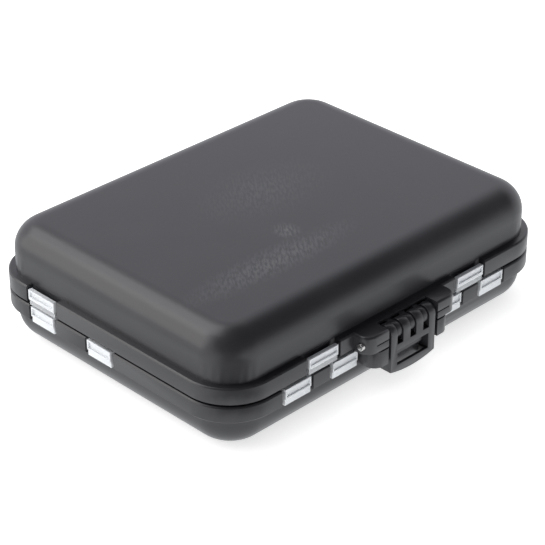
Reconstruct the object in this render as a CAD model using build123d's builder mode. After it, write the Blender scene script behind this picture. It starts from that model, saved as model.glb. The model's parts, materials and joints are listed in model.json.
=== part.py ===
from build123d import *
from math import hypot, sqrt
import os

os.makedirs("parts", exist_ok=True)

# Pocket tackle box: two shells joined by hinges at the back (+Y) and a lever latch at the front (-Y).
# Each shell holds a clear tray whose compartments are closed by clear lids. Millimetres, +Z up.

# Case, measured over the rim that stands out round both shells
case_length = 120.0
case_depth = 91.5
rim_corner = 13.6
rim_ledge = 2.2
rim_edge = 0.4
lower_rim_height = 4.9
upper_rim_height = 5.2
lower_height = 14.8
upper_height = 18.5
shell_corner = 10.8
shell_wall = 1.5
edge_round = 7.6
cavity_edge = 4.2
parting_gap = 0.5

# Clear trays inside the shells
tray_clearance = 0.15
tray_wall = 1.0
tray_floor = 1.0
column_divider = 1.4
row_divider = 1.0

# Compartment lids, their hinge barrels and the tabs that hook over the rim
lid_thickness = 1.4
lid_clearance = 0.3
lid_lap = 0.4
barrel_radius = 1.1
stub_radius = 0.5
stub_clearance = 0.05
stub_grip = 0.5
tab_thickness = 1.75
tab_gap = 0.95
tab_proud = 0.15
tab_border = 0.5
tab_recess = 0.45
band_recess = 0.3
lip_thickness = 1.05
upper_skirt = 0.25
notch_depth = 2.1
lower_tab_height = 5.0
upper_tab_height = 4.65
lower_tab_width = 8.9
upper_tab_width = 10.1
front_inner_tab = 19.75
front_outer_tab = 36.4
front_upper_tab = 27.5
side_back_tab = 23.65
side_middle_tab = 1.35
lower_panel = (0.75, 2.6)
upper_panel = (2.65, 4.2)
lower_band_start = 3.2
upper_band_end = 1.65

# Lever latch on the front
pivot_out = 2.5
pivot_up = 2.3
pin_radius = 0.95
pin_clearance = 0.05
pin_overhang = 0.5
latch_barrel = 2.5
latch_clearance = 0.3
lever_gap = 0.9
lever_width = 16.6
lever_drop = 9.4
lever_bow = 1.1
lever_plate = 0.9
lever_lip_depth = 4.1
slot_width = 2.2
slot_pitch = 4.85
slot_floor = -0.7
window_width = 11.7
window_top = -2.5
window_bottom = -6.9
upper_boss_width = 33.6
lower_boss_width = 28.6
boss_depth = 5.0
boss_corner = 3.2
boss_edge = 0.7
boss_seat = 0.5
groove_height = 0.35
groove_depth = 0.3
groove_up = 2.3
block_width = 10.0
block_out = 2.6
block_drop = 6.0
catch_width = 9.2
catch_top = -2.9
catch_edge = 0.4

# Case hinges on the back
hinge_inset = 27.0
hinge_width = 24.0
knuckle_radius = 2.6
knuckle_gap = 0.3
middle_knuckle = 8.2

# Places worked out from the sizes above
LOWER = -1
UPPER = 1
parting = lower_height
half_gap = parting_gap / 2
front = -case_depth / 2
back = case_depth / 2
height = {LOWER: lower_height, UPPER: upper_height}
rim_height = {LOWER: lower_rim_height, UPPER: upper_rim_height}
shell_length = case_length - 2 * rim_ledge
shell_depth = case_depth - 2 * rim_ledge
mouth_inset = shell_wall + tray_clearance + tray_wall
mouth_length = shell_length - 2 * mouth_inset
mouth_depth = shell_depth - 2 * mouth_inset
mouth_corner = shell_corner - mouth_inset
barrel_drop = half_gap + barrel_radius
wall_top = half_gap + 0.1
row_top = half_gap + lid_thickness + lid_clearance
upper_boss_height = upper_rim_height
ear_x = mouth_length / 2 - mouth_corner - column_divider / 2
pivot_y = front - pivot_out
pivot_z = parting + pivot_up
catch_front = front - boss_depth + lever_plate + latch_clearance
catch_root = rim_ledge + shell_wall / 3
hinge_y = back + lid_clearance + knuckle_radius
hinge_centres = [-case_length / 2 + hinge_inset, case_length / 2 - hinge_inset]


def level(side, distance):
    """Horizontal plane at a distance from the parting plane, towards the lower or upper half."""
    return Plane.XY.offset(parting + side * distance)


def shell_block(side, start, end, inset):
    """Block with the shell's outline less an inset: rounded over outside, bevelled for the hollows inside."""
    with BuildPart() as block:
        with BuildSketch(level(side, start)):
            RectangleRounded(shell_length - 2 * inset, shell_depth - 2 * inset, shell_corner - inset)
        extrude(amount=side * (end - start))
        far_edges = block.faces().sort_by(Axis.Z)[-1 if side == UPPER else 0].edges()
        if inset == 0:
            fillet(far_edges, edge_round)
        else:
            chamfer(far_edges, cavity_edge - (inset - shell_wall) * (2 - sqrt(2)))
    return block.part


def rim_plane(side, edge, place):
    """Plane across the rim: x points outwards, y away from the parting plane."""
    outward = {"front": Vector(0, -1, 0), "left": Vector(-1, 0, 0), "right": Vector(1, 0, 0)}[edge]
    origin = {
        "front": Vector(place, front, parting),
        "left": Vector(-case_length / 2, place, parting),
        "right": Vector(case_length / 2, place, parting),
    }[edge]
    return Plane(origin=origin, x_dir=outward, z_dir=outward.cross(Vector(0, 0, side)))


# Tabs as (edge of the case, place along it), for each half
tab_width = {LOWER: lower_tab_width, UPPER: upper_tab_width}
tab_height = {LOWER: lower_tab_height, UPPER: upper_tab_height}
tab_panel = {LOWER: lower_panel, UPPER: upper_panel}
tabs = {
    LOWER: [
        ("front", -front_outer_tab),
        ("front", -front_inner_tab),
        ("front", front_inner_tab),
        ("front", front_outer_tab),
        ("left", side_middle_tab),
        ("right", side_middle_tab),
        ("left", side_back_tab),
        ("right", side_back_tab),
    ],
    UPPER: [
        ("front", -front_upper_tab),
        ("front", front_upper_tab),
        ("left", side_back_tab),
        ("right", side_back_tab),
    ],
}


def notch(side, edge, place):
    """Room for one tab: a channel across the top of the rim and a full-height notch in its face."""
    reach = rim_ledge + mouth_inset + lid_clearance
    with BuildPart() as room:
        with BuildSketch(rim_plane(side, edge, place)):
            Rectangle(2 * reach, 2 * (half_gap + tab_thickness + lid_clearance))
            Rectangle(2 * notch_depth, 2 * (rim_height[side] + tab_gap))
        extrude(amount=tab_width[side] / 2 + tab_gap, both=True)
    return room.part


def rows(side):
    """Rows of compartments from front to back: name, front face, barrel axis and column lines."""
    quarter = mouth_length / 4
    if side == LOWER:
        lines = [-mouth_depth / 6, mouth_depth / 6]
        columns = [[-quarter, 0, quarter], [0], [0]]
        names = ["front", "middle", "back"]
    else:
        lines = [0]
        columns = [[0], [0]]
        names = ["front", "back"]
    free_edges = [-mouth_depth / 2 + lid_clearance] + [y + row_divider / 2 - lid_lap for y in lines]
    axes = [y - row_divider / 2 - lid_clearance - barrel_radius for y in lines]
    axes.append(mouth_depth / 2 - lid_clearance - barrel_radius)
    return list(zip(names, free_edges, axes, columns))


def make_shell_body(side):
    """Hollow shell with its rim, rounded edges and the notches for the tabs."""
    cavity = shell_block(side, 0, height[side] - shell_wall, shell_wall)
    with BuildPart() as rim:
        with BuildSketch(level(side, half_gap)):
            RectangleRounded(case_length, case_depth, rim_corner)
        extrude(amount=side * (rim_height[side] - half_gap))
        chamfer(rim.edges().filter_by(Plane.XY), rim_edge)
    with BuildPart() as body:
        add(shell_block(side, half_gap, height[side], 0))
        add(rim.part)
        add(cavity, mode=Mode.SUBTRACT)
        for edge, place in tabs[side]:
            add(notch(side, edge, place), mode=Mode.SUBTRACT)
    return body.part


def make_tray(side):
    """Clear tray: outer wall, low row dividers, tall column dividers and sockets for the lid stubs."""
    floor = height[side] - shell_wall
    outer = shell_block(side, wall_top, floor, shell_wall + tray_clearance)
    inner = shell_block(side, 0, floor - tray_floor, mouth_inset)
    with BuildPart() as dividers:
        row_start = -mouth_depth / 2
        for name, free_edge, axis_y, columns in rows(side):
            line = axis_y + barrel_radius + lid_clearance + row_divider / 2
            last = name == "back"
            if not last:
                with BuildSketch(level(side, row_top)):
                    with Locations((0, line)):
                        Rectangle(mouth_length, row_divider)
                extrude(amount=side * (floor - row_top))
            row_end = mouth_depth / 2 if last else line - lid_clearance + row_divider / 2 - lid_lap
            with BuildSketch(level(side, wall_top)):
                for x in columns:
                    with Locations((x, (row_start + row_end) / 2)):
                        Rectangle(column_divider, row_end - row_start)
            extrude(amount=side * (floor - wall_top))
            row_start = row_end if last else line
            if last:
                ear_depth = mouth_depth / 2 - axis_y + barrel_radius
                with BuildSketch(level(side, wall_top)):
                    with Locations(
                        (ear_x, mouth_depth / 2 - ear_depth / 2), (-ear_x, mouth_depth / 2 - ear_depth / 2)
                    ):
                        Rectangle(column_divider, ear_depth)
                extrude(amount=side * (2 * barrel_drop))
        add(outer, mode=Mode.INTERSECT)
    with BuildPart() as tray:
        add(outer)
        add(inner, mode=Mode.SUBTRACT)
        add(dividers.part)
        for edge, place in tabs[side]:
            add(notch(side, edge, place), mode=Mode.SUBTRACT)
        for name, free_edge, axis_y, columns in rows(side):
            reach = ear_x + column_divider / 2 if name == "back" else mouth_length / 2 + stub_grip
            with BuildSketch(Plane.YZ):
                with Locations((axis_y, parting + side * barrel_drop)):
                    Circle(stub_radius + stub_clearance)
            extrude(amount=reach, both=True, mode=Mode.SUBTRACT)
    return tray.part


def tab_front(side):
    """Front of a tab as (outwards, from the parting plane): a lip, and a lower band that is set back from it."""
    band = tab_proud - band_recess
    if side == LOWER:
        return [
            (tab_proud, half_gap),
            (tab_proud, lower_band_start),
            (band, lower_band_start),
            (band, lower_tab_height),
        ]
    return [
        (-lip_thickness, half_gap),
        (-lip_thickness, half_gap - upper_skirt),
        (band, half_gap - upper_skirt),
        (band, upper_band_end),
        (tab_proud, upper_band_end),
        (tab_proud, upper_tab_height),
    ]


def make_tab(side, edge, place):
    """Tab of a lid: an arm across the rim and a lip over the rim's face with a recessed panel."""
    reach = rim_ledge + mouth_inset + 2 * lid_clearance + 1
    width = tab_width[side]
    arm_level = half_gap + tab_thickness
    plane = rim_plane(side, edge, place)
    with BuildPart() as tab:
        with BuildSketch(plane):
            with BuildLine():
                Polyline(
                    (-reach, half_gap),
                    *tab_front(side),
                    (-lip_thickness, tab_height[side]),
                    (-lip_thickness, arm_level),
                    (-reach, arm_level),
                    close=True,
                )
            make_face()
        extrude(amount=width / 2, both=True)
        low, high = tab_panel[side]
        with BuildSketch(Plane(plane.origin, x_dir=plane.z_dir, z_dir=plane.x_dir).offset(tab_proud)):
            with Locations((0, -(low + high) / 2)):
                Rectangle(width - 2 * tab_border, high - low)
        extrude(amount=-tab_recess, mode=Mode.SUBTRACT)
    return tab.part


def make_lid(side, row, x_low, x_high, edge, place):
    """Clear lid with its tab, hinge barrel and stubs; x_low and x_high are the walls beside it."""
    name, free_edge, axis_y, columns = row
    tab = make_tab(side, edge, place)
    at_back = name == "back"
    barrel_low = -ear_x + column_divider / 2 if at_back and x_low < 0 else x_low
    barrel_high = ear_x - column_divider / 2 if at_back and x_high > 0 else x_high
    with BuildPart() as lid:
        with BuildSketch(level(side, half_gap)):
            with Locations(((x_low + x_high) / 2, (free_edge + axis_y) / 2)):
                Rectangle(x_high - x_low - 2 * lid_clearance, axis_y - free_edge)
            RectangleRounded(
                mouth_length - 2 * lid_clearance,
                mouth_depth - 2 * lid_clearance,
                mouth_corner - lid_clearance,
                mode=Mode.INTERSECT,
            )
            if at_back:
                corner_x = ear_x - column_divider / 2 - lid_clearance
                corner_y = axis_y - hypot(barrel_radius, barrel_drop - wall_top) - lid_clearance
                with Locations((corner_x, corner_y)):
                    Rectangle(mouth_corner * 3, mouth_corner, align=(Align.MIN, Align.MIN), mode=Mode.SUBTRACT)
                with Locations((-corner_x, corner_y)):
                    Rectangle(mouth_corner * 3, mouth_corner, align=(Align.MAX, Align.MIN), mode=Mode.SUBTRACT)
        extrude(amount=side * lid_thickness)
        add(tab)
        for radius, grip in ((barrel_radius, -lid_clearance), (stub_radius, stub_grip)):
            low = barrel_low - grip
            high = barrel_high + grip
            with BuildSketch(Plane.YZ.offset(low)):
                with Locations((axis_y, parting + side * barrel_drop)):
                    Circle(radius)
            extrude(amount=high - low)
    return lid.part


def lid_names_and_tabs(side):
    """Each lid's name, row, side walls and tab, from the rows, their columns and the list of tabs."""
    found = []
    for row in rows(side):
        name, free_edge, axis_y, columns = row
        walls = [-mouth_length / 2] + columns + [mouth_length / 2]
        for index in range(len(walls) - 1):
            low = walls[index] + (column_divider / 2 if index > 0 else 0)
            high = walls[index + 1] - (column_divider / 2 if index < len(walls) - 2 else 0)
            for edge, place in tabs[side]:
                under_front = edge == "front" and name == "front" and low < place < high
                beside = (edge == "left" and index == 0) or (edge == "right" and index == len(walls) - 2)
                if under_front or (beside and name != "front" and free_edge < place < axis_y):
                    half = "lower" if side == LOWER else "upper"
                    found.append((f"{half}_lid_{name}_{index + 1}", row, low, high, edge, place))
    return found


def boss_outline(width):
    """Plan of a latch boss on the front of the rim, its two outer corners rounded."""
    with BuildSketch() as outline:
        with Locations((0, front + boss_corner / 2 - boss_depth / 2)):
            Rectangle(width, boss_depth + boss_corner)
        fillet(outline.vertices().group_by(Axis.Y)[0], boss_corner)
    return outline.sketch


def upper_boss():
    """Latch boss on the upper rim, level with the rim's ledge and rounded along its top edges."""
    with BuildPart() as boss:
        with BuildSketch(level(UPPER, half_gap)):
            add(boss_outline(upper_boss_width))
        extrude(amount=upper_boss_height - half_gap)
        top_edges = boss.faces().sort_by(Axis.Z)[-1].edges().sort_by(Axis.Y)
        fillet(top_edges[:-1], boss_edge)
    return boss.part


def front_cylinder(radius, half_length):
    """Cylinder along the latch pin's axis."""
    with BuildPart() as cylinder:
        with BuildSketch(Plane.YZ):
            with Locations((pivot_y, pivot_z)):
                Circle(radius)
        extrude(amount=half_length, both=True)
    return cylinder.part


def hinge_knuckle(side, centre_x, length):
    """Knuckle of a case hinge: a barrel on the hinge axis with a web down to the rim's back face."""
    with BuildPart() as knuckle:
        with BuildSketch(Plane.YZ.offset(centre_x - length / 2)):
            with Locations((hinge_y, parting)):
                Circle(knuckle_radius)
            with BuildLine():
                Polyline(
                    (back - rim_edge, parting + side * half_gap),
                    (hinge_y, parting + side * half_gap),
                    (hinge_y + knuckle_radius * 0.8, parting + side * knuckle_radius * 0.6),
                    (back, parting + side * (rim_height[side] - rim_edge)),
                    (back - rim_edge, parting + side * (rim_height[side] - rim_edge)),
                    close=True,
                )
            make_face()
        extrude(amount=length)
    return knuckle.part


outer_knuckle = (hinge_width - middle_knuckle) / 2 - knuckle_gap
outer_offset = (hinge_width - outer_knuckle) / 2
hinge_bore = pin_radius + pin_clearance


def hinge_bores():
    """Holes for the two hinge pins."""
    with BuildPart() as bores:
        for centre_x in hinge_centres:
            with BuildSketch(Plane.YZ.offset(centre_x - hinge_width / 2)):
                with Locations((hinge_y, parting)):
                    Circle(hinge_bore)
            extrude(amount=hinge_width)
    return bores.part


# Lower shell: rim, base, the latch boss, the catch block with its bar, and the outer knuckles of each hinge
with BuildPart() as lower_shell:
    add(make_shell_body(LOWER))
    with BuildSketch(level(LOWER, half_gap)):
        add(boss_outline(lower_boss_width))
    extrude(amount=-(lower_rim_height - half_gap))
    with BuildSketch(Plane.XZ.offset(-front + boss_seat)):
        with Locations((0, parting)):
            Rectangle(lever_width + 2 * lever_gap, 2 * (lower_rim_height + lid_clearance))
    extrude(amount=boss_depth + boss_seat, mode=Mode.SUBTRACT)
    with BuildSketch(Plane.XZ.offset(-front - catch_root)):
        with Locations((0, parting + catch_top)):
            Rectangle(block_width, block_drop, align=(Align.CENTER, Align.MAX))
    extrude(amount=catch_root + block_out)
    with BuildSketch(Plane.YZ):
        with BuildLine():
            Polyline(
                (front, parting + catch_top),
                (catch_front + catch_edge, parting + catch_top),
                (catch_front, parting + catch_top - catch_edge),
                (catch_front, parting - lower_rim_height + catch_edge),
                (catch_front + catch_edge, parting - lower_rim_height),
                (front, parting - lower_rim_height),
                close=True,
            )
        make_face()
    extrude(amount=catch_width / 2, both=True)
    for centre_x in hinge_centres:
        for offset_x in (-outer_offset, outer_offset):
            add(hinge_knuckle(LOWER, centre_x + offset_x, outer_knuckle))
    add(hinge_bores(), mode=Mode.SUBTRACT)
lower_shell.part.label = "lower_shell"
export_step(lower_shell.part, "parts/lower_shell.step")

# Upper shell: rim, crown, the latch boss with its cheeks and fixed knuckles, and the middle hinge knuckles
with BuildPart() as upper_shell:
    add(make_shell_body(UPPER))
    add(upper_boss())
    with BuildSketch(Plane.XZ.offset(-front + boss_seat)):
        with Locations((0, parting)):
            Rectangle(lever_width + 2 * lever_gap, 2 * (upper_boss_height + lid_clearance))
    extrude(amount=boss_depth + boss_seat, mode=Mode.SUBTRACT)
    add(front_cylinder(latch_barrel + latch_clearance, lever_width / 2 + lever_gap), mode=Mode.SUBTRACT)
    with BuildSketch(Plane.XZ.offset(-front + boss_depth)):
        with Locations((0, parting + groove_up)):
            Rectangle(upper_boss_width - 2 * boss_corner, groove_height)
    extrude(amount=-groove_depth, mode=Mode.SUBTRACT)
    knuckle_width = slot_width - 2 * latch_clearance
    for slot_x in (-slot_pitch, 0, slot_pitch):
        with BuildSketch(Plane.YZ.offset(slot_x - knuckle_width / 2)):
            with Locations((pivot_y, pivot_z)):
                Circle(latch_barrel - latch_clearance)
            with Locations((pivot_y, pivot_z)):
                Rectangle(
                    pivot_out + rim_edge + latch_clearance,
                    2 * (pivot_up - half_gap),
                    align=(Align.MIN, Align.CENTER),
                )
        extrude(amount=knuckle_width)
    add(front_cylinder(pin_radius + pin_clearance, upper_boss_width / 2), mode=Mode.SUBTRACT)
    for centre_x in hinge_centres:
        add(hinge_knuckle(UPPER, centre_x, middle_knuckle))
    add(hinge_bores(), mode=Mode.SUBTRACT)
upper_shell.part.label = "upper_shell"
export_step(upper_shell.part, "parts/upper_shell.step")

# Clear trays
lower_tray = make_tray(LOWER)
lower_tray.label = "lower_tray"
export_step(lower_tray, "parts/lower_tray.step")
upper_tray = make_tray(UPPER)
upper_tray.label = "upper_tray"
export_step(upper_tray, "parts/upper_tray.step")

# Compartment lids, one for each compartment of both trays
for side in (LOWER, UPPER):
    for name, row, low, high, edge, place in lid_names_and_tabs(side):
        lid = make_lid(side, row, low, high, edge, place)
        lid.label = name
        export_step(lid, f"parts/{name}.step")

# Latch lever: barrel round the pin, front plate with slots and window, side rails and a hooked lip
with BuildPart() as latch_lever:
    with BuildSketch(Plane.YZ):
        with Locations((pivot_y, pivot_z)):
            Circle(latch_barrel)
        with BuildLine():
            Polyline(
                (front - boss_depth, pivot_z),
                (front - boss_depth, parting - lever_drop),
                (front - boss_depth + lever_lip_depth, parting - lever_drop),
                (front - boss_depth + lever_lip_depth, parting),
                (pivot_y, pivot_z),
                close=True,
            )
        make_face()
    extrude(amount=lever_width / 2, both=True)
    with BuildSketch(Plane.XZ.offset(-front)):
        with BuildLine():
            Polyline(
                (-lever_width / 2, parting - lever_drop + lever_bow),
                (-lever_width / 2, pivot_z + 2 * latch_barrel),
                (lever_width / 2, pivot_z + 2 * latch_barrel),
                (lever_width / 2, parting - lever_drop + lever_bow),
            )
            ThreePointArc(
                (lever_width / 2, parting - lever_drop + lever_bow),
                (0, parting - lever_drop),
                (-lever_width / 2, parting - lever_drop + lever_bow),
            )
        make_face()
    extrude(amount=2 * boss_depth, both=True, mode=Mode.INTERSECT)
    with BuildSketch(Plane.XZ.offset(-front + boss_depth - lever_plate)):
        with Locations((0, pivot_z - latch_barrel)):
            Rectangle(block_width + 2 * latch_clearance, 2 * lever_drop, align=(Align.CENTER, Align.MAX))
    extrude(amount=-boss_depth, mode=Mode.SUBTRACT)
    with BuildSketch(Plane.XZ.offset(-front)):
        with Locations((0, parting + (window_top + window_bottom) / 2)):
            Rectangle(window_width, window_top - window_bottom)
        for slot_x in (-slot_pitch, 0, slot_pitch):
            with Locations((slot_x, parting + slot_floor)):
                Rectangle(slot_width, 4 * latch_barrel, align=(Align.CENTER, Align.MIN))
    extrude(amount=2 * boss_depth, both=True, mode=Mode.SUBTRACT)
    add(front_cylinder(pin_radius + pin_clearance, lever_width), mode=Mode.SUBTRACT)
latch_lever.part.label = "latch_lever"
export_step(latch_lever.part, "parts/latch_lever.step")

# Steel pins of the latch and of the two case hinges
with BuildPart() as latch_pin:
    add(front_cylinder(pin_radius, upper_boss_width / 2 + pin_overhang))
latch_pin.part.label = "latch_pin"
export_step(latch_pin.part, "parts/latch_pin.step")

for name, centre_x in zip(("hinge_pin_left", "hinge_pin_right"), hinge_centres):
    with BuildPart() as hinge_pin:
        with BuildSketch(Plane.YZ.offset(centre_x - hinge_width / 2)):
            with Locations((hinge_y, parting)):
                Circle(pin_radius)
        extrude(amount=hinge_width)
    hinge_pin.part.label = name
    export_step(hinge_pin.part, f"parts/{name}.step")
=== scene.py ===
import json
import math

import bpy
from mathutils import Matrix, Vector

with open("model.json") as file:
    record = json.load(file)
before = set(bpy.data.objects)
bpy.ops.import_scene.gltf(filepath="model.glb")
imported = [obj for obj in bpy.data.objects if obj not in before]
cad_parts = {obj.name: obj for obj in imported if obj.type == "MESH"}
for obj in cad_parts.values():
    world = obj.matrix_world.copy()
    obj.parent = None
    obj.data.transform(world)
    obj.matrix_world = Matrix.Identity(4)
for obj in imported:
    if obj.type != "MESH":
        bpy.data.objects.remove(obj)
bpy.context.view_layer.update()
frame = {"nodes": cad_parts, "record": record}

# Camera, worked out from the photograph: angles in radians, lengths in metres
CAMERA_AZIMUTH = -0.7797
CAMERA_ELEVATION = 0.5351
CAMERA_ROLL = -0.0019
CAMERA_DISTANCE = 0.5562
CAMERA_TARGET = Vector((0.00013, 0.00007, 0.0113))
CAMERA_CLIP = (0.01, 20.0)
SENSOR_WIDTH = 36.0
FOCAL_PIXELS = 2069.0
PHOTO_PIXELS = 545.0

# Colours, linear
WHITE = (1.0, 1.0, 1.0, 1.0)
BLACK = (0.031, 0.031, 0.035, 1.0)
BLACK_WORN = (0.125, 0.125, 0.13, 1.0)
CLEAR = (0.9, 0.93, 0.95, 1.0)
STEEL = (0.72, 0.71, 0.69, 1.0)

# Black plastic: each noise has a scale per metre and a detail, each bump a strength and a depth in metres
BLACK_IOR = 1.59
BLACK_ROUGHNESS = (0.29, 0.34)
WEAR_NOISE = (60.0, 5.0)
WEAR_STOPS = (0.4, 0.75)
WEAR_MOST = 0.08
GRAIN_NOISE = (3000.0, 0.0)
GRAIN_BUMP = (0.08, 0.00004)

# Scuffs on the crown: centre and radii of each in metres and its strength, which is full inside the core.
# Their streaks have a size in metres and a turn in radians
SCUFFS = (
    ((-0.022, -0.0225, 0.0333), (0.034, 0.007, 0.003), 0.8),
    ((-0.0085, -0.014, 0.0333), (0.0045, 0.005, 0.003), 1.0),
    ((0.002, 0.006, 0.0333), (0.026, 0.016, 0.003), 0.35),
)
SCUFF_CORE = 0.1
SCUFF_TURN = 0.9
STREAK_SIZE = (0.0022, 0.0006, 0.0022)
STREAK_DETAIL = 6.0
STREAK_STOPS = (0.38, 0.6)

# Clear plastic, from clear to frosted, and where the frost starts on the object in metres
CLEAR_IOR = 1.5
CLEAR_TRANSMISSION = (0.85, 0.08)
CLEAR_ROUGHNESS = (0.05, 0.14)
FROST_ROUGHNESS = 0.3
CLOUD_NOISE = (220.0, 4.0)
FLOW_NOISE = (900.0, 3.0)
FLOW_BUMP = (0.12, 0.00006)
SHELL_SIDE = 0.0578
SHELL_FRONT = -0.04355
FROST_FADE = 0.0008
BAND_LOW = 0.0147
BAND_HIGH = 0.0164
BAND_FADE = 0.0002
BAND_FROST = 0.42

# Steel
STEEL_ROUGHNESS = (0.2, 0.36)
SCRATCH_NOISE = (1800.0, 3.0)
SCRATCH_BUMP = (0.1, 0.00004)

# Stops of a noise, between which most of its values lie
NOISE_STOPS = (0.3, 0.7)

# Edges: bevel widths in metres, and angles in radians that count as flat and as an edge
EDGE_BEVEL = {"black_plastic": 0.00026, "clear_plastic": 0.0001, "steel": 0.00015}
BEVEL_SEGMENTS = 2
BEVEL_ANGLE = math.radians(30.0)
FLAT_ANGLE = math.radians(0.1)
WELD_DISTANCE = 0.000002

# Lamps: name, place and size in metres, power in watts and colour
WARM = (1.0, 0.95, 0.88)
LAMPS = (
    ("key", (-0.35, 0.9, 1.5), 1.3, 9.0, WHITE[:3]),
    ("side", (-0.8, 0.74, 0.48), 0.95, 3.8, WARM),
)

# Room: strengths, and the dim parts as a direction with the cosines where each starts and is full
ROOM_COLOUR = (0.95, 0.95, 1.02, 1.0)
ROOM_BRIGHT = 0.87
ROOM_DIM = 0.06
DIM_CEILING = ((0.2, -0.5, 0.84), 0.5, 0.85)
DIM_CAMERA = ((-0.5, -0.6, 0.62), 0.6, 0.88)

# Floor: strengths, the direction of its near part with two cosines, and lengths in metres
FLOOR_SIZE = 8.0
FLOOR_COLOUR = (0.86, 0.86, 0.85, 1.0)
FLOOR_BOUNCE = 0.85
FLOOR_GLOW = 0.95
# Painted shadow: the floor's emission for the camera falls to this strength where ambient occlusion finds
# the object close by
PAINTED_SHADOW_GLOW = 0.6
FLOOR_TINT = (0.96, 0.98, 1.0, 1.0)
FLOOR_MIRRORED = 1.0
FLOOR_MIRRORED_NEAR = 0.15
NEAR_SIDE = ((-0.703, -0.711, 0.0), 0.9, 0.99)
NEAR_START = 0.016
NEAR_FULL = 0.03
FOOTPRINT = (SHELL_SIDE, -SHELL_FRONT, 0.0)
# Reach of the ambient occlusion that paints the shadow on the floor around the object
PAINTED_SHADOW_REACH = 0.008


def shader(name):
    """New material with its node tree and its Principled shader."""
    material = bpy.data.materials.new(name)
    material.use_nodes = True
    tree = material.node_tree
    return material, tree, tree.nodes["Principled BSDF"]


def place_noise(tree, scale, detail):
    """Noise in the object's own metres, so that it moves with the piece."""
    coordinates = tree.nodes.new("ShaderNodeTexCoord")
    noise = tree.nodes.new("ShaderNodeTexNoise")
    noise.inputs["Scale"].default_value = scale
    noise.inputs["Detail"].default_value = detail
    tree.links.new(coordinates.outputs["Object"], noise.inputs["Vector"])
    return noise


def ramp(tree, source, low, high, low_value, high_value):
    """Value that goes from one value to another while the source goes between two stops."""
    node = tree.nodes.new("ShaderNodeMapRange")
    node.inputs["From Min"].default_value = low
    node.inputs["From Max"].default_value = high
    node.inputs["To Min"].default_value = low_value
    node.inputs["To Max"].default_value = high_value
    tree.links.new(source, node.inputs["Value"])
    return node.outputs["Result"]


def add_bump(tree, bsdf, height, strength, depth):
    """Surface relief from a height value."""
    bump = tree.nodes.new("ShaderNodeBump")
    bump.inputs["Strength"].default_value = strength
    bump.inputs["Distance"].default_value = depth
    tree.links.new(height, bump.inputs["Height"])
    tree.links.new(bump.outputs["Normal"], bsdf.inputs["Normal"])


def combine(tree, operation, first, second):
    """Result of a calculation with two values."""
    node = tree.nodes.new("ShaderNodeMath")
    node.operation = operation
    tree.links.new(first, node.inputs[0])
    tree.links.new(second, node.inputs[1])
    return node.outputs[0]


def vector_math(tree, operation, vector, other=None):
    """Node for a calculation with a vector, and a fixed second vector where it takes one."""
    node = tree.nodes.new("ShaderNodeVectorMath")
    node.operation = operation
    tree.links.new(vector, node.inputs[0])
    if other is not None:
        node.inputs[1].default_value = other
    return node


def oval(tree, vector, centre, radii, strength):
    """Given strength inside an oval at a place, fading to nought at its edge."""
    moved = vector_math(tree, "SUBTRACT", vector, centre)
    scaled = vector_math(tree, "DIVIDE", moved.outputs["Vector"], radii)
    distance = vector_math(tree, "LENGTH", scaled.outputs["Vector"])
    return ramp(tree, distance.outputs["Value"], SCUFF_CORE, 1.0, strength, 0.0)


def facing(tree, vector, direction, low, high):
    """Nought to one as a direction turns towards a given one, by its cosine between two stops."""
    unit = vector_math(tree, "NORMALIZE", vector)
    cosine = vector_math(tree, "DOT_PRODUCT", unit.outputs["Vector"], direction)
    step = tree.nodes.new("ShaderNodeMapRange")
    step.interpolation_type = "SMOOTHSTEP"
    step.inputs["From Min"].default_value = low
    step.inputs["From Max"].default_value = high
    tree.links.new(cosine.outputs["Value"], step.inputs["Value"])
    return step.outputs["Result"]


def crown_scuffs(tree):
    """Fine rubbed streaks in a few places on the crown of the upper shell."""
    coordinates = tree.nodes.new("ShaderNodeTexCoord")
    stretch = tree.nodes.new("ShaderNodeMapping")
    stretch.vector_type = "TEXTURE"
    stretch.inputs["Rotation"].default_value = (0.0, 0.0, SCUFF_TURN)
    stretch.inputs["Scale"].default_value = STREAK_SIZE
    tree.links.new(coordinates.outputs["Object"], stretch.inputs["Vector"])
    streaks = tree.nodes.new("ShaderNodeTexNoise")
    streaks.inputs["Scale"].default_value = 1.0
    streaks.inputs["Detail"].default_value = STREAK_DETAIL
    tree.links.new(stretch.outputs["Vector"], streaks.inputs["Vector"])
    places = None
    for centre, radii, strength in SCUFFS:
        place = oval(tree, coordinates.outputs["Object"], centre, radii, strength)
        places = place if places is None else combine(tree, "MAXIMUM", places, place)
    rubbed = ramp(tree, streaks.outputs["Fac"], *STREAK_STOPS, 0.0, 1.0)
    return combine(tree, "MULTIPLY", rubbed, places)


def black_plastic():
    """Satin moulded black plastic: fine grain, faint cloudy wear and a few rubbed scuffs on the crown."""
    material, tree, bsdf = shader("black_plastic")
    patches = place_noise(tree, *WEAR_NOISE)
    colour = tree.nodes.new("ShaderNodeMix")
    colour.data_type = "RGBA"
    colour.inputs["A"].default_value = BLACK
    colour.inputs["B"].default_value = BLACK_WORN
    scuffs = crown_scuffs(tree)
    wear = ramp(tree, patches.outputs["Fac"], *WEAR_STOPS, 0.0, WEAR_MOST)
    tree.links.new(combine(tree, "MAXIMUM", wear, scuffs), colour.inputs["Factor"])
    tree.links.new(colour.outputs["Result"], bsdf.inputs["Base Color"])
    roughness = ramp(tree, patches.outputs["Fac"], *NOISE_STOPS, *BLACK_ROUGHNESS)
    tree.links.new(roughness, bsdf.inputs["Roughness"])
    bsdf.inputs["IOR"].default_value = BLACK_IOR
    grain = place_noise(tree, *GRAIN_NOISE)
    add_bump(tree, bsdf, grain.outputs["Fac"], *GRAIN_BUMP)
    return material


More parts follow.
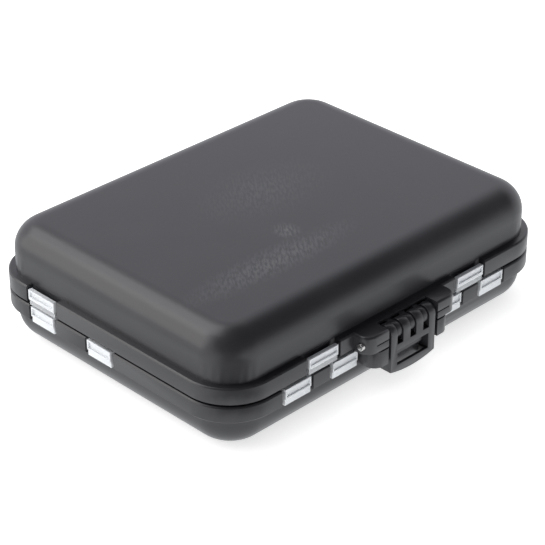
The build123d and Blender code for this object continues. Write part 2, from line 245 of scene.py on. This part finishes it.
def tab_frost(tree):
    """One past the shells' front and side walls, less on the band of an upper tab, nought inside."""
    coordinates = tree.nodes.new("ShaderNodeTexCoord")
    axes = tree.nodes.new("ShaderNodeSeparateXYZ")
    tree.links.new(coordinates.outputs["Object"], axes.inputs["Vector"])
    side = tree.nodes.new("ShaderNodeMath")
    side.operation = "ABSOLUTE"
    tree.links.new(axes.outputs["X"], side.inputs[0])
    past_side = ramp(tree, side.outputs[0], SHELL_SIDE, SHELL_SIDE + FROST_FADE, 0.0, 1.0)
    past_front = ramp(tree, axes.outputs["Y"], SHELL_FRONT, SHELL_FRONT - FROST_FADE, 0.0, 1.0)
    past = combine(tree, "MAXIMUM", past_side, past_front)
    below_band = ramp(tree, axes.outputs["Z"], BAND_LOW - BAND_FADE, BAND_LOW, 1.0, 0.0)
    above_band = ramp(tree, axes.outputs["Z"], BAND_HIGH, BAND_HIGH + BAND_FADE, BAND_FROST, 1.0)
    return combine(tree, "MULTIPLY", past, combine(tree, "MAXIMUM", below_band, above_band))


def clear_plastic():
    """Clear moulded styrene, frosted white where the lids' tabs reach past the shells."""
    material, tree, bsdf = shader("clear_plastic")
    bsdf.inputs["Base Color"].default_value = CLEAR
    bsdf.inputs["IOR"].default_value = CLEAR_IOR
    frost = tab_frost(tree)
    transmission = ramp(tree, frost, 0.0, 1.0, *CLEAR_TRANSMISSION)
    tree.links.new(transmission, bsdf.inputs["Transmission Weight"])
    clouds = place_noise(tree, *CLOUD_NOISE)
    cloudy = ramp(tree, clouds.outputs["Fac"], *NOISE_STOPS, *CLEAR_ROUGHNESS)
    frosted = ramp(tree, frost, 0.0, 1.0, 0.0, FROST_ROUGHNESS)
    tree.links.new(combine(tree, "MAXIMUM", cloudy, frosted), bsdf.inputs["Roughness"])
    flow = place_noise(tree, *FLOW_NOISE)
    add_bump(tree, bsdf, flow.outputs["Fac"], *FLOW_BUMP)
    return material


def steel():
    """Bright drawn wire."""
    material, tree, bsdf = shader("steel")
    bsdf.inputs["Metallic"].default_value = 1.0
    bsdf.inputs["Base Color"].default_value = STEEL
    scratches = place_noise(tree, *SCRATCH_NOISE)
    roughness = ramp(tree, scratches.outputs["Fac"], *NOISE_STOPS, *STEEL_ROUGHNESS)
    tree.links.new(roughness, bsdf.inputs["Roughness"])
    add_bump(tree, bsdf, scratches.outputs["Fac"], *SCRATCH_BUMP)
    return material


MATERIALS = {"black_plastic": black_plastic(), "clear_plastic": clear_plastic(), "steel": steel()}
SLOTS = {entry["node"]: entry["material_slot"] for entry in frame["record"]["subparts"]}

for node, piece in frame["nodes"].items():
    piece.data.materials.clear()
    piece.data.materials.append(MATERIALS[SLOTS[node]])
    weld = piece.modifiers.new("Weld", "WELD")
    weld.merge_threshold = WELD_DISTANCE
    for polygon in piece.data.polygons:
        polygon.use_smooth = True
    merge = piece.modifiers.new("Merge", "DECIMATE")
    merge.decimate_type = "DISSOLVE"
    merge.angle_limit = FLAT_ANGLE
    bevel = piece.modifiers.new("Bevel", "BEVEL")
    bevel.width = EDGE_BEVEL[SLOTS[node]]
    bevel.segments = BEVEL_SEGMENTS
    bevel.limit_method = "ANGLE"
    bevel.angle_limit = BEVEL_ANGLE
    bevel.use_clamp_overlap = True
    bevel.harden_normals = True


def camera_rotation():
    """Rotation of the camera, and its back direction, from the object towards it."""
    flat = math.cos(CAMERA_ELEVATION)
    back = Vector(
        (math.sin(CAMERA_AZIMUTH) * flat, -math.cos(CAMERA_AZIMUTH) * flat, math.sin(CAMERA_ELEVATION))
    )
    right = Vector((math.cos(CAMERA_AZIMUTH), math.sin(CAMERA_AZIMUTH), 0.0))
    up = back.cross(right)
    turned_right = right * math.cos(CAMERA_ROLL) + up * math.sin(CAMERA_ROLL)
    turned_up = up * math.cos(CAMERA_ROLL) - right * math.sin(CAMERA_ROLL)
    return Matrix((turned_right, turned_up, back)).transposed(), back


rotation, back = camera_rotation()
camera_data = bpy.data.cameras.new("camera")
camera_data.sensor_width = SENSOR_WIDTH
camera_data.lens = FOCAL_PIXELS / PHOTO_PIXELS * SENSOR_WIDTH
camera_data.clip_start, camera_data.clip_end = CAMERA_CLIP
camera = bpy.data.objects.new("camera", camera_data)
camera.matrix_world = Matrix.Translation(CAMERA_TARGET + back * CAMERA_DISTANCE) @ rotation.to_4x4()
bpy.context.scene.collection.objects.link(camera)
bpy.context.scene.camera = camera


def area_light(name, place, size, power, colour):
    """Square soft box that points at the object."""
    data = bpy.data.lights.new(name, "AREA")
    data.shape = "SQUARE"
    data.size = size
    data.energy = power
    data.color = colour
    lamp = bpy.data.objects.new(name, data)
    lamp.location = place
    lamp.rotation_euler = (CAMERA_TARGET - Vector(place)).to_track_quat("-Z", "Y").to_euler()
    bpy.context.scene.collection.objects.link(lamp)


for lamp_values in LAMPS:
    area_light(*lamp_values)

# Room: bright all round the object, dim overhead in front and above the camera, white as a background
world = bpy.data.worlds.new("world")
bpy.context.scene.world = world
world.use_nodes = True
world_tree = world.node_tree
background = world_tree.nodes["Background"]
sky = world_tree.nodes.new("ShaderNodeTexCoord")
dim_ceiling = facing(world_tree, sky.outputs["Generated"], *DIM_CEILING)
dim_camera = facing(world_tree, sky.outputs["Generated"], *DIM_CAMERA)
dim = combine(world_tree, "MAXIMUM", dim_ceiling, dim_camera)
room = ramp(world_tree, dim, 0.0, 1.0, ROOM_BRIGHT, ROOM_DIM)
light_path = world_tree.nodes.new("ShaderNodeLightPath")
behind = combine(world_tree, "MAXIMUM", light_path.outputs["Is Camera Ray"],
                 light_path.outputs["Is Transmission Ray"])
world_colour = world_tree.nodes.new("ShaderNodeMix")
world_colour.data_type = "RGBA"
world_colour.inputs["A"].default_value = ROOM_COLOUR
world_colour.inputs["B"].default_value = WHITE
world_tree.links.new(behind, world_colour.inputs["Factor"])
world_tree.links.new(world_colour.outputs["Result"], background.inputs["Color"])
world_strength = world_tree.nodes.new("ShaderNodeMapRange")
world_strength.inputs["To Max"].default_value = 1.0
world_tree.links.new(behind, world_strength.inputs["Value"])
world_tree.links.new(room, world_strength.inputs["To Min"])
world_tree.links.new(world_strength.outputs["Result"], background.inputs["Strength"])

# Floor: pale for the camera, with the lamps' real shadow and a painted shadow, where ambient occlusion
# dims its emission near the object; in reflections it is white and dims towards the camera
bpy.ops.mesh.primitive_plane_add(size=FLOOR_SIZE, location=(0.0, 0.0, 0.0))
floor = bpy.context.object
floor.name = "floor"
floor_material, floor_tree, floor_bsdf = shader("floor")
floor_bsdf.inputs["Base Color"].default_value = FLOOR_COLOUR
floor_bsdf.inputs["Roughness"].default_value = 1.0
floor_bsdf.inputs["Specular IOR Level"].default_value = 0.0
floor_bsdf.inputs["Emission Color"].default_value = WHITE
floor_path = floor_tree.nodes.new("ShaderNodeLightPath")
# Painted shadow: ambient occlusion near the object lowers the floor's emission for the camera
painted_shadow_occlusion = floor_tree.nodes.new("ShaderNodeAmbientOcclusion")
painted_shadow_occlusion.inputs["Distance"].default_value = PAINTED_SHADOW_REACH
glow_with_painted_shadow = ramp(floor_tree, painted_shadow_occlusion.outputs["AO"], 0.0, 1.0, PAINTED_SHADOW_GLOW, FLOOR_GLOW)
shown = floor_tree.nodes.new("ShaderNodeMapRange")
floor_tree.links.new(floor_path.outputs["Is Camera Ray"], shown.inputs["Value"])
shown.inputs["To Min"].default_value = FLOOR_BOUNCE
floor_tree.links.new(glow_with_painted_shadow, shown.inputs["To Max"])
floor_tree.links.new(shown.outputs["Result"], floor_bsdf.inputs["Emission Strength"])
floor_place = floor_tree.nodes.new("ShaderNodeTexCoord")
absolute = vector_math(floor_tree, "ABSOLUTE", floor_place.outputs["Object"])
beyond = vector_math(floor_tree, "SUBTRACT", absolute.outputs["Vector"], FOOTPRINT)
outside = vector_math(floor_tree, "MAXIMUM", beyond.outputs["Vector"], (0.0, 0.0, 0.0))
distance = vector_math(floor_tree, "LENGTH", outside.outputs["Vector"])
away = ramp(floor_tree, distance.outputs["Value"], NEAR_START, NEAR_FULL, 0.0, 1.0)
towards_camera = facing(floor_tree, floor_place.outputs["Object"], *NEAR_SIDE)
near = combine(floor_tree, "MULTIPLY", towards_camera, away)
brightness = ramp(floor_tree, near, 0.0, 1.0, FLOOR_MIRRORED, FLOOR_MIRRORED_NEAR)
mirrored = floor_tree.nodes.new("ShaderNodeEmission")
mirrored.inputs["Color"].default_value = FLOOR_TINT
floor_tree.links.new(brightness, mirrored.inputs["Strength"])
seen_in = combine(floor_tree, "MAXIMUM", floor_path.outputs["Is Glossy Ray"],
                  floor_path.outputs["Is Transmission Ray"])
chosen = floor_tree.nodes.new("ShaderNodeMixShader")
floor_tree.links.new(seen_in, chosen.inputs["Fac"])
floor_tree.links.new(floor_bsdf.outputs["BSDF"], chosen.inputs[1])
floor_tree.links.new(mirrored.outputs["Emission"], chosen.inputs[2])
floor_output = floor_tree.nodes["Material Output"]
floor_tree.links.new(chosen.outputs["Shader"], floor_output.inputs["Surface"])
floor.data.materials.append(floor_material)

bpy.context.scene.view_settings.view_transform = "Standard"
